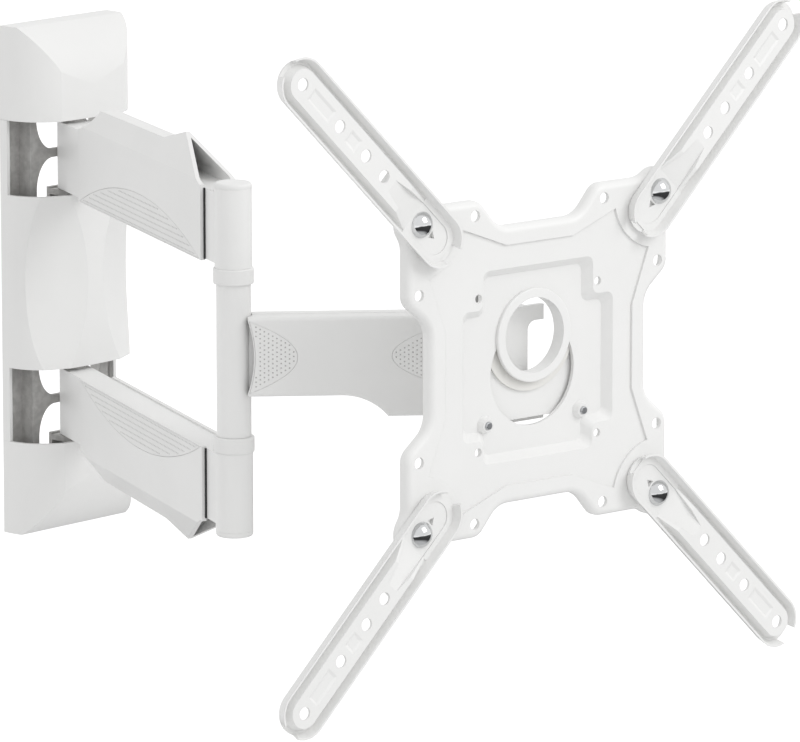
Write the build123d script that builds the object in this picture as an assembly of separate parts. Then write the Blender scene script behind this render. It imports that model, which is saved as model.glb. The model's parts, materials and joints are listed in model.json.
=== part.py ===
from build123d import *
import os
from math import atan2, cos, degrees, hypot, radians, sin, sqrt

# Full motion wall mount for a screen, in millimetres.
# The back of the wall plate lies on y = 0, the mount reaches out along -y, z is up,
# and x = 0, z = 0 is the middle of the wall plate.

# Fits and gaps
RUN_GAP = 0.05
SEAT_GAP = 0.02
COVER_GAP = 0.1
BACK_MARGIN = 1.0

# Pose at rest: turns about z, in degrees from straight out of the wall
ARM_TURN = -25.0
FORE_TURN = 47.6
HEAD_TURN = -7.5

# Wall plate, a hat section of steel
WALL_HALF_H = 168.0
WALL_T = 3.0
HAT_HALF_W = 36.0
HAT_HALF_H = 136.0
HAT_DEPTH = 14.0
LAG_X = 30.0
LAG_Z = 152.0
LAG_R = 4.5
WEB_HOLE_HALF_W = 30.0
WEB_HOLE_ROUND = 15.0
WEB_HOLE_RISE = 22.0
EAR_RELIEF = 9.0
NECK_HALF_H = 3.0

# Wall covers, moulded shells with one plan outline
COVER_HALF_W = 51.0
COVER_HALF_H = 176.0
COVER_DEPTH = 40.0
COVER_T = 2.5
STRIP_DEPTH = 7.0
CREASE_X = 29.5
CREASE_DEPTH = 38.6
CREASE_INSET = 0.55
WINDOW_LOW = 60.0
WINDOW_HIGH = 111.5
CAP_FLAT = 16.0
CAP_SHOULDER_Z = 134.0
SCOOP_R = 284.0
SCOOP_TURN = 25.3
SCOOP_X = 26.0
SCOOP_DEPTH = 31.0

# Wall pivots
PIVOT_X = -8.0
PIVOT_OUT = 26.0
PIVOT_R = 5.0
EAR_R = 10.0
EAR_T = 4.0
PIVOT_HEAD_R = 8.0
PIVOT_HEAD_H = 4.0
PIVOT_NUT_R = 8.5
PIVOT_NUT_H = 5.0
BUSH_WALL = 2.0
BUSH_FLANGE_T = 1.0
BUSH_FLANGE_R = 9.0
BUSH_DEPTH = 8.0

# Rear arms, an upper and a lower one; BACK is a distance back from the elbow
ARM_LEN = 315.7
BEAM_HALF_W = 10.0
BEAM_LOW = 62.5
BEAM_HIGH = 109.0
BEAM_T = 2.0
COVER_WALL = 3.1
COVER_LIP = 1.0
HOOD_START = 49.7
HOOD_START_Z = 110.8
HOOD_RISE = (62.0, 114.6)
HOOD_RIDGE = (78.0, 126.8)
HOOD_VALLEY_BACK = 115.0
HOOD_VALLEY_Z = 128.0
HOOD_APEX_BACK = 85.0
HOOD_APEX_Z = 136.0
HOOD_FOOT_BACK = 28.4
HOOD_FOOT_Z = 111.0
HOOD_END_BACK = 25.4
ROOF_TOP_Z = 138.5
ROOF_SLOPE = 1.9
HOOD_T = 2.6
LENS_MARGIN = 4.0
LENS_HEIGHT = 23.5
LENS_TIP_REACH = 6.0
INLAY_T = 1.0
INLAY_GAP = 0.15

# Elbow
SHAFT_R = 8.0
SHAFT_BORE_R = 5.5
SLEEVE_R = 12.2
SLEEVE_LOW = 60.6
SLEEVE_HIGH = 112.6
CAP_H = 3.6
CAP_EDGE_R = 2.0
COLLAR_R = 13.25
TUBE_R = 11.25
TUBE_T = 1.35
TUBE_HALF_H = 50.0
TUBE_BUSH_H = 20.0

# Forearm
FORE_LEN = 167.0
FORE_TOP = 29.5
FORE_LOW = -22.5
FORE_DEEP = -36.5
FORE_STEP = 69.0
FORE_DROP = 99.0
FORE_START = 8.5
FORE_FRONT = 13.5
FORE_REAR = 12.0
FORE_EDGE_R = 2.5
FORE_BEAM_HALF_W = 6.0
FORE_BEAM_HIGH = 24.0
FORE_BEAM_LOW = -17.0
FORE_SEAM = 0.35
TUBE_CLEAR = 0.8
PAD_LEN = 31.0
NEAR_PAD_HALF_H = 23.5
FAR_PAD_HALF_H = 18.8
PAD_SETBACK = 0.9
PAD_MID_Z = 3.5
PAD_DIP = 3.8
FAR_PAD_BACK = 34.5
COVER_SCREW_D = (48.0, 126.0)
COVER_SCREW_R = 2.0
COVER_SCREW_HEAD_R = 4.0
COVER_SCREW_HEAD_H = 2.0

# Swivel at the end of the forearm
BARREL_R = 13.0
BARREL_BORE_R = 9.0
BARREL_LOW = -36.0
BARREL_HIGH = 29.0
SWIVEL_R = 6.0
HEAD_BUSH_H = 12.0
CHEEK_R = 15.0
CHEEK_T = 4.0
WEB_FRONT = 20.0
WEB_T = 4.0
WEB_NARROW = 13.5
WEB_WIDE = 27.0
WEB_NECK_LOW = -14.0
WEB_NECK_HIGH = 24.0
WEB_NECK_R = 6.0
COVER_END_GAP = 3.0
SWIVEL_HEAD_R = 10.0
SWIVEL_HEAD_H = 5.0

# Tilt bracket
TILT_OUT = 25.0
TILT_Z = -26.0
TILT_R = 2.5
TILT_EAR_R = 6.5
TILT_EAR_T = 4.0
TILT_CHEEK_R = 9.0
TILT_CHEEK_T = 3.0
TILT_WASHER_T = 0.6
TILT_HEAD_R = 6.5
TILT_HEAD_H = 4.2
TILT_NUT_R = 4.6
TILT_NUT_H = 4.0
TILT_WEB_T = 3.0
TILT_WEB_HALF_W = 46.0
TILT_WEB_TOP = 56.0
TILT_WEB_LOW = -35.0
TILT_FOOT_LOW = -44.0
TILT_FOOT_X = 30.0
ROLL_ANGLE = 3.0

# Roll hub in the plate
HUB_Z = 20.0
HUB_BORE_R = 24.5
HUB_R = 27.5
RING_R = 30.6
RING_T = 2.4
WASHER_R = 37.0
WASHER_T = 2.0
CUTOUT_R = 35.0
CUTOUT_Z = -4.0
LOCK_X = 40.0
LOCK_Z = -34.0
LOCK_R = 2.5
LOCK_SLOT_GAP = 0.5
LOCK_HEAD_R = 4.2
LOCK_HEAD_H = 3.0
BOSS_R = 6.0
BOSS_TIP_R = 4.2
BOSS_H = 4.0
LOCK_TIP = 1.5

# Screen plate, a stamped pan
FACE_OUT = 46.5
PLATE_T = 2.5
PLATE_RISE = 4.0
PLATE_HALF = 109.5
NOTCH_HALF = 90.5
NOTCH_LOBE = 49.0
NOTCH_FOOT = 33.0
CORNER_R = 15.0
CORNER_BLEND_R = 16.0
LOBE_R = 11.0
NOTCH_R = 18.0
FLANGE_DEPTH = 6.5
FLANGE_EDGE_R = 4.5
STEP_T = 1.5
STEP_HALF = 78.5
STEP_FOOT = 28.0
STEP_LOBE = 93.0
STEP_LOBE_FOOT = 66.0
CORNER_PAD_R = 37.0
RECESS_HALF = 63.0
RECESS_NOTCH_X = 46.0
RECESS_NOTCH_TOP = 38.0
RECESS_NOTCH_LOW = 47.0
RECESS_DEPTH = 6.0
RECESS_DRAFT = 5.0
RECESS_CORNER_R = 5.0
VESA_SMALL = 100.0
VESA_SMALL_R = 2.75
SIDE_HOLE = 54.0
SIDE_HOLE_R = 3.7
SCREW_SQUARE = 200.0

# Extension arms, four alike
REACH_HOLES = (50.0, 70.711, 100.0, 141.421)
REACH_HOLE_R = 4.1
REACH_HALF_W = 17.5
REACH_LEAN = 2.8
REACH_TIP = 158.5
REACH_TAIL = 33.0
REACH_FLOOR_T = 2.5
REACH_RIM_H = 9.0
REACH_RIM_T = 1.4
REACH_BACK_R = 1.0
RIM_GAP_HALF = 6.5
PLATEAU_H = 8.6
PLATEAU_HALF_W = 10.2
PLATEAU_DRAFT = 2.0
PLATEAU_WALL = 1.6
PLATEAU_START = 10.0
PLATEAU_FULL = 27.0
HOLLOW_START = 44.0
TONGUE_END = 41.0
TONGUE_HALF_W = 4.3
SEAT_STEP = 0.6
SEAT_HALF_W = 10.5
SEAT_NEAR = 24.5
EMBOSS_T = 0.8
EMBOSS_HALF_W = 4.7
EMBOSS_INSET = 9.0
EMBOSS_DRAFT = 1.7
NUB_X = -11.0
NUB_R = 3.0
SCREW_R = 3.0
SCREW_HEAD_R = 8.5
SCREW_HEAD_H = 5.5
SCREW_NUT_R = 4.6
SCREW_NUT_H = 6.5
SCREW_TAIL = 1.5

# Levels worked out from the sizes above, as y in the head's own frame
FACE_Y = -FACE_OUT
RIDGE_Y = FACE_Y - STEP_T
FLANGE_Y = RIDGE_Y + FLANGE_DEPTH + STEP_T
FLOOR_Y = FACE_Y + RECESS_DEPTH
FLOOR_BACK_Y = FLOOR_Y + PLATE_T
WASHER_FRONT_Y = FLOOR_BACK_Y + RUN_GAP
WASHER_BACK_Y = WASHER_FRONT_Y + WASHER_T
TILT_FRONT_Y = WASHER_BACK_Y + SEAT_GAP
TILT_BACK_Y = TILT_FRONT_Y + TILT_WEB_T
RING_BACK_Y = FLOOR_Y - RUN_GAP
REACH_BACK_Y = RIDGE_Y - RUN_GAP
REACH_FLOOR_Y = REACH_BACK_Y - REACH_FLOOR_T
REACH_TOP_Y = REACH_BACK_Y - REACH_RIM_H
PLATEAU_TOP_Y = REACH_BACK_Y - PLATEAU_H
SCREW_SEAT_Y = REACH_FLOOR_Y - RUN_GAP
ARM_COVER_HALF_W = BEAM_HALF_W + SEAT_GAP + COVER_WALL
ARM_COVER_LOW = BEAM_LOW - COVER_LIP
ARM_COVER_END = ARM_LEN - HOOD_END_BACK
HOOD_VALLEY = (ARM_LEN - HOOD_VALLEY_BACK, HOOD_VALLEY_Z)
HOOD_APEX = (ARM_LEN - HOOD_APEX_BACK, HOOD_APEX_Z)
HOOD_FOOT = (ARM_LEN - HOOD_FOOT_BACK, HOOD_FOOT_Z)
FORE_COVER_END = FORE_LEN - CHEEK_R - COVER_END_GAP
EAR_HIGH_Z = BEAM_HIGH + BUSH_FLANGE_T + RUN_GAP
EAR_LOW_Z = BEAM_LOW - BUSH_FLANGE_T - RUN_GAP


def stepped(origin, length, turn):
    """Plan point a link's length away from an origin, for a turn from straight out."""
    return (origin[0] + length * sin(radians(turn)), origin[1] - length * cos(radians(turn)))


ROOT_AT = (PIVOT_X, -PIVOT_OUT)
ELBOW_AT = stepped(ROOT_AT, ARM_LEN, ARM_TURN)
HEAD_AT = stepped(ELBOW_AT, FORE_LEN, FORE_TURN)
ARM_FRAME = Location((*ROOT_AT, 0), (0, 0, ARM_TURN))
ELBOW_FRAME = Location((*ELBOW_AT, 0), (0, 0, ARM_TURN))
FORE_FRAME = Location((*ELBOW_AT, 0), (0, 0, FORE_TURN))
HEAD_FRAME = Location((*HEAD_AT, 0), (0, 0, HEAD_TURN))


def block(x, y, z):
    """Box between the low and high value of each pair."""
    middle = Pos(sum(x) / 2, sum(y) / 2, sum(z) / 2)
    return middle * Box(x[1] - x[0], y[1] - y[0], z[1] - z[0])


def rod_x(y, z, x, radius):
    return Pos(sum(x) / 2, y, z) * Rot(0, 90, 0) * Cylinder(radius, x[1] - x[0])


def rod_y(x, z, y, radius):
    return Pos(x, sum(y) / 2, z) * Rot(90, 0, 0) * Cylinder(radius, y[1] - y[0])


def rod_z(x, y, z, radius):
    return Pos(x, y, sum(z) / 2) * Cylinder(radius, z[1] - z[0])


def hex_z(x, y, z, radius):
    return Pos(x, y, z[0]) * extrude(RegularPolygon(radius, 6), z[1] - z[0])


def front_plane(y):
    """Sketch plane at a depth y: its x is x, its y is z, and it faces out of the wall."""
    return Plane(origin=(0, y, 0), x_dir=(1, 0, 0), z_dir=(0, -1, 0))


def plate_y(sketch, y):
    """Sketch in x and z as a plate between two depths, the back one first."""
    return extrude(front_plane(y[0]) * sketch, y[0] - y[1])


def lines(*points):
    return [Edge.make_line(a, b) for a, b in zip(points, points[1:])]


def slab(edges, thickness, direction):
    return extrude(Face(Wire(edges)), thickness, dir=direction)


def mirrored(shape, plane):
    return mirror(shape, about=plane)


def both(shape, plane):
    """A piece and its mirror image, as one group of separate solids."""
    return Compound(children=[*shape.solids(), *mirrored(shape, plane).solids()])


def group(shapes):
    return Compound(children=[solid for shape in shapes for solid in shape.solids()])


# Wall plate and its covers

def cover_plan(inset, z):
    """Outline of the wall covers from above: straight strips, round flanks, a bowed front."""
    side = COVER_HALF_W - inset
    crease_x = CREASE_X - CREASE_INSET * inset
    crease_y = -(CREASE_DEPTH - inset)
    back = BACK_MARGIN if inset else 0.0
    right_flank = Edge.make_tangent_arc((side, -STRIP_DEPTH, z), (0, -1, 0), (crease_x, crease_y, z))
    front = Edge.make_three_point_arc(
        (crease_x, crease_y, z), (0, -(COVER_DEPTH - inset), z), (-crease_x, crease_y, z)
    )
    left_flank = Edge.make_tangent_arc((-side, -STRIP_DEPTH, z), (0, -1, 0), (-crease_x, crease_y, z))
    return [
        *lines((side, back, z), (side, -STRIP_DEPTH, z)),
        right_flank,
        front,
        left_flank,
        *lines((-side, -STRIP_DEPTH, z), (-side, back, z), (side, back, z)),
    ]


def cover_core(inset, z):
    return slab(cover_plan(inset, z[0]), z[1] - z[0], (0, 0, 1))


def cap_profile(inset):
    """Side view of the top cap, swept across it: a flat top, a round shoulder, an upright front."""
    x = -COVER_HALF_W
    top = COVER_HALF_H - inset
    front = -(COVER_DEPTH - inset)
    low = WINDOW_HIGH - inset
    shoulder = Edge.make_tangent_arc((x, front, CAP_SHOULDER_Z), (0, 0, 1), (x, -(CAP_FLAT - inset), top))
    edges = [
        *lines((x, BACK_MARGIN, top), (x, -(CAP_FLAT - inset), top)),
        shoulder,
        *lines((x, front, CAP_SHOULDER_Z), (x, front, low), (x, BACK_MARGIN, low), (x, BACK_MARGIN, top)),
    ]
    return slab(edges, 2 * COVER_HALF_W, (1, 0, 0))


def wall_cover_top():
    span = (WINDOW_HIGH, COVER_HALF_H)
    outside = cover_core(0, span) & cap_profile(0)
    inside = cover_core(COVER_T, (span[0] - COVER_T, span[1])) & cap_profile(COVER_T)
    return outside - inside


def scoop(side, radius):
    """Round cutter that hollows one front corner of the middle cover."""
    across = (cos(radians(SCOOP_TURN)), side * sin(radians(SCOOP_TURN)), 0)
    outward = (side * sin(radians(SCOOP_TURN)), -cos(radians(SCOOP_TURN)), 0)
    middle = (side * SCOOP_X + outward[0] * SCOOP_R, -SCOOP_DEPTH + outward[1] * SCOOP_R, 0)
    return Plane(origin=middle, z_dir=across) * Cylinder(radius, 4 * COVER_HALF_W)


def wall_cover_middle():
    outside = cover_core(0, (-WINDOW_LOW, WINDOW_LOW))
    inside = cover_core(COVER_T, (-WINDOW_LOW - COVER_T, WINDOW_LOW + COVER_T))
    for side in (-1, 1):
        outside -= scoop(side, SCOOP_R)
        inside -= scoop(side, SCOOP_R + COVER_T)
    reach = WINDOW_HIGH - COVER_GAP
    tall = cover_core(0, (-reach, reach)) - cover_core(COVER_T, (-reach - COVER_T, reach + COVER_T))
    strips = tall & block((-COVER_HALF_W, COVER_HALF_W), (-STRIP_DEPTH, 0), (-reach, reach))
    return (outside - inside) + strips


def web_hole(ear_z, neck_z):
    """Opening that a lug was bent out of: round towards the neck, with reliefs beside the lug."""
    out = 1 if ear_z > neck_z else -1
    round_z = neck_z + out * WEB_HOLE_RISE
    end_z = ear_z + out * EAR_RELIEF
    inner_w = WEB_HOLE_HALF_W - WEB_HOLE_ROUND
    opening = Pos(0, (neck_z + round_z) / 2) * Rectangle(2 * inner_w, WEB_HOLE_RISE)
    for side in (-1, 1):
        opening += Pos(side * inner_w, round_z) * Ellipse(WEB_HOLE_ROUND, WEB_HOLE_RISE)
    opening += Pos(0, (round_z + end_z) / 2) * Rectangle(2 * WEB_HOLE_HALF_W, abs(end_z - round_z))
    root = Pos(PIVOT_X, end_z) * Rectangle(2 * EAR_R, 2 * EAR_RELIEF)
    limit = Pos(0, (neck_z + end_z) / 2) * Rectangle(2 * WEB_HOLE_HALF_W, abs(end_z - neck_z))
    return plate_y((opening & limit) - root, (BACK_MARGIN, -HAT_DEPTH - BACK_MARGIN))


def pivot_ear(z):
    """Lug off the raised web that holds an arm's pivot bolt."""
    lug = rod_z(*ROOT_AT, z, EAR_R)
    lug += block((PIVOT_X - EAR_R, PIVOT_X + EAR_R), (-PIVOT_OUT, -HAT_DEPTH), z)
    return lug - rod_z(*ROOT_AT, z, PIVOT_R + SEAT_GAP)


def wall_plate():
    half_w = COVER_HALF_W - COVER_T - COVER_GAP
    inner_w = HAT_HALF_W - WALL_T
    inner_h = HAT_HALF_H - WALL_T
    plate = block((-half_w, half_w), (-WALL_T, 0), (-WALL_HALF_H, WALL_HALF_H))
    plate += block((-HAT_HALF_W, HAT_HALF_W), (-HAT_DEPTH, 0), (-HAT_HALF_H, HAT_HALF_H))
    plate -= block((-inner_w, inner_w), (-HAT_DEPTH + WALL_T, BACK_MARGIN), (-inner_h, inner_h))
    for x in (-LAG_X, LAG_X):
        for z in (-LAG_Z, LAG_Z):
            plate -= rod_y(x, z, (-WALL_T - BACK_MARGIN, BACK_MARGIN), LAG_R)
    neck = (BEAM_LOW + BEAM_HIGH) / 2
    for ear_z, neck_z in ((BEAM_LOW, neck - NECK_HALF_H), (BEAM_HIGH, neck + NECK_HALF_H)):
        plate -= web_hole(ear_z, neck_z)
        plate -= web_hole(-ear_z, -neck_z)
    for z in ((EAR_LOW_Z - EAR_T, EAR_LOW_Z), (EAR_HIGH_Z, EAR_HIGH_Z + EAR_T)):
        plate += pivot_ear(z)
        plate += pivot_ear((-z[1], -z[0]))
    return plate


def pivot_bolt():
    top = EAR_HIGH_Z + EAR_T
    low = EAR_LOW_Z - EAR_T - PIVOT_NUT_H
    bolt = rod_z(*ROOT_AT, (low, top), PIVOT_R)
    return bolt + rod_z(*ROOT_AT, (top, top + PIVOT_HEAD_H), PIVOT_HEAD_R)


def pivot_nut():
    top = EAR_LOW_Z - EAR_T
    span = (top - PIVOT_NUT_H, top)
    return hex_z(*ROOT_AT, span, PIVOT_NUT_R) - rod_z(*ROOT_AT, span, PIVOT_R + SEAT_GAP)


# Rear arms, drawn with the wall pivot at the origin and the arm along -y

def beam_core(inset):
    """Bar with a round tail about the wall pivot."""
    half_w = BEAM_HALF_W - inset
    z = (BEAM_LOW + inset, BEAM_HIGH - inset)
    return block((-half_w, half_w), (-ARM_LEN, 0), z) + rod_z(0, 0, z, half_w)


def arm_beam():
    beam = beam_core(0) - beam_core(BEAM_T)
    beam -= rod_z(0, -ARM_LEN, (BEAM_LOW, BEAM_HIGH), SLEEVE_R + SEAT_GAP)
    return beam - rod_z(0, 0, (BEAM_LOW, BEAM_HIGH), PIVOT_R + RUN_GAP + BUSH_WALL + SEAT_GAP)


def arm_bushes():
    """Flanged plastic bushes in the two walls of an arm's wall end."""
    outer = PIVOT_R + RUN_GAP + BUSH_WALL
    bore = PIVOT_R + RUN_GAP
    upper = rod_z(0, 0, (BEAM_HIGH - BUSH_DEPTH, BEAM_HIGH), outer)
    upper += rod_z(0, 0, (BEAM_HIGH, BEAM_HIGH + BUSH_FLANGE_T), BUSH_FLANGE_R)
    lower = rod_z(0, 0, (BEAM_LOW, BEAM_LOW + BUSH_DEPTH), outer)
    lower += rod_z(0, 0, (BEAM_LOW - BUSH_FLANGE_T, BEAM_LOW), BUSH_FLANGE_R)
    hole = rod_z(0, 0, (BEAM_LOW - BUSH_DEPTH, BEAM_HIGH + BUSH_DEPTH), bore)
    return group([upper - hole, lower - hole])


def hood_profile(inset, half_w, start, end):
    """Side view of an arm's cover: a low start, a long ridge and a flared end cut back to its apex."""
    x = -half_w
    drop = (HOOD_VALLEY[0], HOOD_VALLEY[1] - inset)
    rise = Edge.make_spline([
        (x, -start, HOOD_START_Z - inset),
        (x, -HOOD_RISE[0] - inset, HOOD_RISE[1] - inset),
        (x, -HOOD_RIDGE[0] - inset, HOOD_RIDGE[1] - inset),
    ])
    edges = [
        *lines((x, -end, ARM_COVER_LOW), (x, -start, ARM_COVER_LOW), (x, -start, HOOD_START_Z - inset)),
        rise,
        *lines(
            (x, -HOOD_RIDGE[0] - inset, HOOD_RIDGE[1] - inset),
            (x, -drop[0], drop[1]),
            (x, -HOOD_APEX[0], HOOD_APEX[1] - inset),
        ),
    ]
    if inset:
        edges += lines((x, -HOOD_APEX[0], HOOD_APEX[1] - inset), (x, -end, HOOD_APEX[1] - inset))
        edges += lines((x, -end, HOOD_APEX[1] - inset), (x, -end, ARM_COVER_LOW))
    else:
        edges += lines(
            (x, -HOOD_APEX[0], HOOD_APEX[1]),
            (x, -HOOD_FOOT[0], HOOD_FOOT[1]),
            (x, -end, HOOD_FOOT[1]),
            (x, -end, ARM_COVER_LOW),
        )
    return slab(edges, 2 * half_w, (1, 0, 0))


def hood_roof(inset, half_w, end):
    """Cross-section of an arm's cover: upright sides under a steep roof."""
    peak = ROOF_TOP_Z - inset * hypot(1, ROOF_SLOPE)
    low = ARM_COVER_LOW - BACK_MARGIN
    edges = lines(
        (half_w, 0, low),
        (half_w, 0, peak - ROOF_SLOPE * half_w),
        (0, 0, peak),
        (-half_w, 0, peak - ROOF_SLOPE * half_w),
        (-half_w, 0, low),
        (half_w, 0, low),
    )
    return slab(edges, end + BACK_MARGIN, (0, -1, 0))


def lens_edges(x, margin):
    """Long segment of a circle that the textured strip fills on an arm's side."""
    low = BEAM_LOW - margin
    start = HOOD_START + LENS_MARGIN - margin * LENS_TIP_REACH
    end = ARM_COVER_END - LENS_MARGIN + margin * LENS_TIP_REACH
    top = (x, -(start + end) / 2, BEAM_LOW + LENS_HEIGHT + margin)
    arc = Edge.make_three_point_arc((x, -start, low), top, (x, -end, low))
    return [arc, *lines((x, -end, low), (x, -start, low))]


def arm_inlay(margin, thickness):
    return slab(lens_edges(ARM_COVER_HALF_W, margin), thickness, (-1, 0, 0))


def arm_cover():
    half_w = ARM_COVER_HALF_W
    inner_w = BEAM_HALF_W + SEAT_GAP
    outside = hood_profile(0, half_w, HOOD_START, ARM_COVER_END) & hood_roof(0, half_w, ARM_COVER_END)
    far = ARM_COVER_END + BACK_MARGIN
    channel = hood_profile(HOOD_T, inner_w, HOOD_START + HOOD_T, far) & hood_roof(HOOD_T, inner_w, far)
    seat = block((-inner_w, inner_w), (-far, 0), (ARM_COVER_LOW - BACK_MARGIN, BEAM_HIGH + SEAT_GAP))
    pocket = arm_inlay(INLAY_GAP, INLAY_T + SEAT_GAP)
    return outside - channel - seat - pocket - mirrored(pocket, Plane.YZ)


def elbow_sleeve():
    z = (SLEEVE_LOW, SLEEVE_HIGH)
    return rod_z(0, 0, z, SLEEVE_R) - rod_z(0, 0, z, SHAFT_R + SEAT_GAP)


def elbow_collar():
    z = (TUBE_HALF_H + COVER_GAP, SLEEVE_LOW - SEAT_GAP)
    collar = rod_z(0, 0, z, COLLAR_R) - rod_z(0, 0, z, SHAFT_R + SEAT_GAP)
    rims = collar.edges().filter_by(GeomType.CIRCLE).filter_by(lambda edge: edge.radius > SLEEVE_R)
    return fillet(rims, CAP_EDGE_R / 2)


def elbow_cap():
    z = (SLEEVE_HIGH + SEAT_GAP, SLEEVE_HIGH + CAP_H)
    cap = rod_z(0, 0, z, SLEEVE_R)
    return fillet(cap.edges().group_by(Axis.Z)[-1], CAP_EDGE_R)


def elbow_shaft():
    z = (-SLEEVE_HIGH, SLEEVE_HIGH)
    return rod_z(0, 0, z, SHAFT_R) - rod_z(0, 0, z, SHAFT_BORE_R)


# Forearm, drawn with the elbow at the origin and the arm along -y

def elbow_tube():
    z = (-TUBE_HALF_H, TUBE_HALF_H)
    return rod_z(0, 0, z, TUBE_R) - rod_z(0, 0, z, TUBE_R - TUBE_T)


def elbow_bush():
    z = (TUBE_HALF_H - TUBE_BUSH_H, TUBE_HALF_H)
    return rod_z(0, 0, z, TUBE_R - TUBE_T - SEAT_GAP) - rod_z(0, 0, z, SHAFT_R + RUN_GAP)


def forearm_beam():
    z = (FORE_BEAM_LOW, FORE_BEAM_HIGH)
    beam = block((-FORE_BEAM_HALF_W, FORE_BEAM_HALF_W), (-FORE_LEN, 0), z)
    inner_w = FORE_BEAM_HALF_W - BEAM_T
    beam -= block((-inner_w, inner_w), (-FORE_LEN, 0), (z[0] + BEAM_T, z[1] - BEAM_T))
    beam -= rod_z(0, 0, z, TUBE_R + SEAT_GAP)
    beam -= rod_z(0, -FORE_LEN, z, BARREL_R + SEAT_GAP)
    for d in COVER_SCREW_D:
        beam -= rod_x(-d, PAD_MID_Z, (-FORE_BEAM_HALF_W, FORE_BEAM_HALF_W), COVER_SCREW_R + SEAT_GAP)
    return beam


def fore_edges(x, inset, start, end):
    """Side view of the forearm's covers: level on top, with a round step down towards the head."""
    top = FORE_TOP - inset
    low = FORE_LOW + inset
    deep = FORE_DEEP + inset
    step = Edge.make_tangent_arc((x, -FORE_STEP, low), (0, -1, 0), (x, -(FORE_DROP + inset), deep))
    return [
        *lines((x, -FORE_STEP, low), (x, -start, low), (x, -start, top), (x, -end, top), (x, -end, deep)),
        *lines((x, -end, deep), (x, -(FORE_DROP + inset), deep)),
        step,
    ]


def pad_edges(x, tip, mouth, half_h, margin):
    """Outline of a textured pad: a nose like a bullet's at its tip and a slightly hollow mouth."""
    out = 1 if tip > mouth else -1
    high = PAD_MID_Z + half_h + margin
    low = PAD_MID_Z - half_h - margin
    start = mouth - out * margin
    lead = 2 * (tip + out * margin) - start
    nose = Edge.make_bezier((x, -start, high), (x, -lead, PAD_MID_Z), (x, -start, low))
    hollow = (x, -(start + out * PAD_DIP), PAD_MID_Z)
    return [nose, Edge.make_three_point_arc((x, -start, low), hollow, (x, -start, high))]


def forearm_pads(margin, thickness):
    x = -FORE_FRONT
    near_mouth = FORE_START + PAD_SETBACK
    far_mouth = FORE_LEN - FAR_PAD_BACK
    near = pad_edges(x, near_mouth + PAD_LEN, near_mouth, NEAR_PAD_HALF_H, margin)
    far = pad_edges(x, far_mouth - PAD_LEN, far_mouth, FAR_PAD_HALF_H, margin)
    return [slab(edges, thickness, (1, 0, 0)) for edges in (near, far)]


def forearm_shell(x):
    """Half of the forearm's casing, open towards its other half at x = 0."""
    side = 1 if x > 0 else -1
    seam = side * FORE_SEAM
    shell = slab(fore_edges(x, 0, FORE_START, FORE_COVER_END), abs(x) - FORE_SEAM, (-side, 0, 0))
    rims = shell.edges().filter_by(Axis.Y).group_by(Axis.X)[-1 if side > 0 else 0]
    shell = fillet(rims, FORE_EDGE_R)
    wall = x - side * COVER_T
    start = FORE_START - BACK_MARGIN
    hollow = fore_edges(wall, COVER_T, start, FORE_COVER_END + BACK_MARGIN)
    shell -= slab(hollow, abs(wall - seam) + BACK_MARGIN, (-side, 0, 0))
    shell -= rod_z(0, 0, (FORE_DEEP, FORE_TOP), TUBE_R + TUBE_CLEAR)
    return shell


def forearm_mouth():
    """Room that hollows the front cover's end, in line with the near pad's mouth."""
    x = -FORE_FRONT - BACK_MARGIN
    high = PAD_MID_Z + NEAR_PAD_HALF_H
    low = PAD_MID_Z - NEAR_PAD_HALF_H
    back = FORE_START - BACK_MARGIN
    hollow = Edge.make_three_point_arc(
        (x, -FORE_START, low), (x, -(FORE_START + PAD_DIP), PAD_MID_Z), (x, -FORE_START, high)
    )
    edges = [hollow, *lines((x, -FORE_START, high), (x, -back, high), (x, -back, low), (x, -FORE_START, low))]
    return slab(edges, COVER_T + 2 * BACK_MARGIN, (1, 0, 0))


def forearm_front_cover():
    cover = forearm_shell(-FORE_FRONT) - forearm_mouth()
    for pad in forearm_pads(INLAY_GAP, INLAY_T + SEAT_GAP):
        cover -= pad
    post_x = (-FORE_FRONT + COVER_T, -FORE_BEAM_HALF_W - SEAT_GAP)
    for d in COVER_SCREW_D:
        cover += rod_x(-d, PAD_MID_Z, post_x, COVER_SCREW_HEAD_R)
        cover -= rod_x(-d, PAD_MID_Z, (-FORE_FRONT + 2 * COVER_T, 0), COVER_SCREW_R + SEAT_GAP)
    return cover


def forearm_rear_cover():
    cover = forearm_shell(FORE_REAR)
    post_x = (FORE_BEAM_HALF_W + SEAT_GAP, FORE_REAR - COVER_T)
    for d in COVER_SCREW_D:
        cover += rod_x(-d, PAD_MID_Z, post_x, COVER_SCREW_HEAD_R)
        cover -= rod_x(-d, PAD_MID_Z, (0, FORE_REAR), COVER_SCREW_R + SEAT_GAP)
    return cover


def forearm_cover_screw(d):
    shank = rod_x(-d, PAD_MID_Z, (-FORE_FRONT + 2 * COVER_T, FORE_REAR), COVER_SCREW_R)
    return shank + rod_x(-d, PAD_MID_Z, (FORE_REAR, FORE_REAR + COVER_SCREW_HEAD_H), COVER_SCREW_HEAD_R)


def head_barrel():
    z = (BARREL_LOW, BARREL_HIGH)
    return rod_z(0, -FORE_LEN, z, BARREL_R) - rod_z(0, -FORE_LEN, z, BARREL_BORE_R)


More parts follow.
